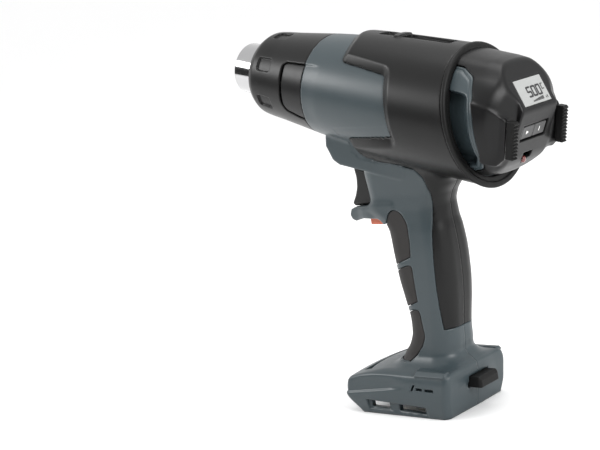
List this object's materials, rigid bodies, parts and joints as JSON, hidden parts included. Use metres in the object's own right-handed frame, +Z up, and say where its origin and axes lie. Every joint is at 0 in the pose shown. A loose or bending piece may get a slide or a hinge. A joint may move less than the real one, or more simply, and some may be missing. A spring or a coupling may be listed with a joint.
{
  "type": "heat gun",
  "caption": "Cordless pistol-grip hot-air gun with steel outlet tube, pull-off guard sleeve, rear display panel, stand feet and an open battery shoe.",
  "frame": {"origin": "middle of the object's bounding box at its lowest level, where the battery shoe's rim stands on a surface", "axes": "+Z up, nozzle towards -X and tipped up 13 degrees, display and stand feet towards +X, the gun's left side towards -Y"},
  "size_m": [0.2338, 0.0858, 0.2532],
  "materials": {
    "grey_plastic": "fine-grained blue-grey moulded plastic",
    "black_rubber": "satin black overmoulded elastomer",
    "black_plastic": "satin black glass-filled plastic",
    "trigger_plastic": "smooth black plastic",
    "soft_pad": "matte warm-black soft pad",
    "outlet_steel": "polished stainless steel",
    "screw_steel": "zinc plated",
    "orange_plastic": "satin orange plastic",
    "display_glass": "grey liquid crystal under a clear window",
    "red_lens": "unlit red lens",
    "ceramic": "fired cordierite ceramic",
    "mica": "rolled mica sheet",
    "circuit_board": "green solder mask",
    "brass": "spring brass",
    "red_wire": "red insulation",
    "black_wire": "black insulation"
  },
  "bodies": {
    "housing": {"shell_left": "grey_plastic", "shell_right": "grey_plastic", "cover_left": "black_rubber", "cover_right": "black_rubber", "finger_pad_lower": "soft_pad", "finger_pad_middle": "soft_pad", "finger_pad_upper": "soft_pad", "rear_foot_block": "black_rubber", "housing_screw_1": "screw_steel", "housing_screw_2": "screw_steel", "housing_screw_3": "screw_steel", "housing_screw_4": "screw_steel", "housing_screw_5": "screw_steel", "front_collar": "black_plastic", "outlet_tube": "outlet_steel", "mica_sleeve": "mica", "heater_core": "ceramic", "heater_flange": "screw_steel", "air_duct": "black_plastic", "fan_motor": "screw_steel", "motor_mount": "black_plastic", "intake_hood": "black_rubber", "rear_cap": "black_plastic", "intake_scoop_left": "grey_plastic", "intake_scoop_right": "grey_plastic", "stand_foot_left": "black_rubber", "stand_foot_right": "black_rubber", "display_window": "display_glass", "status_lens": "red_lens", "display_board": "circuit_board", "trigger_switch": "black_plastic", "control_board": "circuit_board", "terminal_block": "black_plastic", "contact_blade_1": "brass", "contact_blade_2": "brass", "contact_blade_3": "brass", "contact_blade_4": "brass", "battery_lead_positive": "red_wire", "battery_lead_negative": "black_wire"},
    "trigger_lever": {"trigger": "trigger_plastic"},
    "lock": {"lock_button": "orange_plastic"},
    "mode_button": {"mode_key": "black_plastic"},
    "minus_button": {"minus_key": "black_plastic"},
    "guard": {"guard_sleeve": "black_plastic"},
    "fan_rotor": {"fan_impeller": "black_plastic", "motor_shaft": "screw_steel"}
  },
  "joints": [
    {"name": "trigger_pull", "type": "slide", "parent": "housing", "child": "trigger_lever", "axis": [1, 0, 0], "range_m": [0, 0.005], "stiffness_N_per_m": 900},
    {"name": "lock_press", "type": "slide", "parent": "housing", "child": "lock", "axis": [0, 0, 1], "range_m": [0, 0.0025], "stiffness_N_per_m": 800},
    {"name": "mode_key_press", "type": "slide", "parent": "housing", "child": "mode_button", "axis": [-0.8829, 0, 0.4695], "range_m": [0, 0.0008], "stiffness_N_per_m": 1500},
    {"name": "minus_key_press", "type": "slide", "parent": "housing", "child": "minus_button", "axis": [-0.8829, 0, 0.4695], "range_m": [0, 0.0008], "stiffness_N_per_m": 1500},
    {"name": "guard_pull_off", "type": "slide", "parent": "housing", "child": "guard", "axis": [-0.9744, 0, 0.225], "range_m": [0, 0.08]},
    {"name": "fan_spin", "type": "hinge", "parent": "housing", "child": "fan_rotor", "pos_m": [0.01084, 0, 0.20315], "axis": [0.9744, 0, -0.225], "continuous": true}
  ]
}
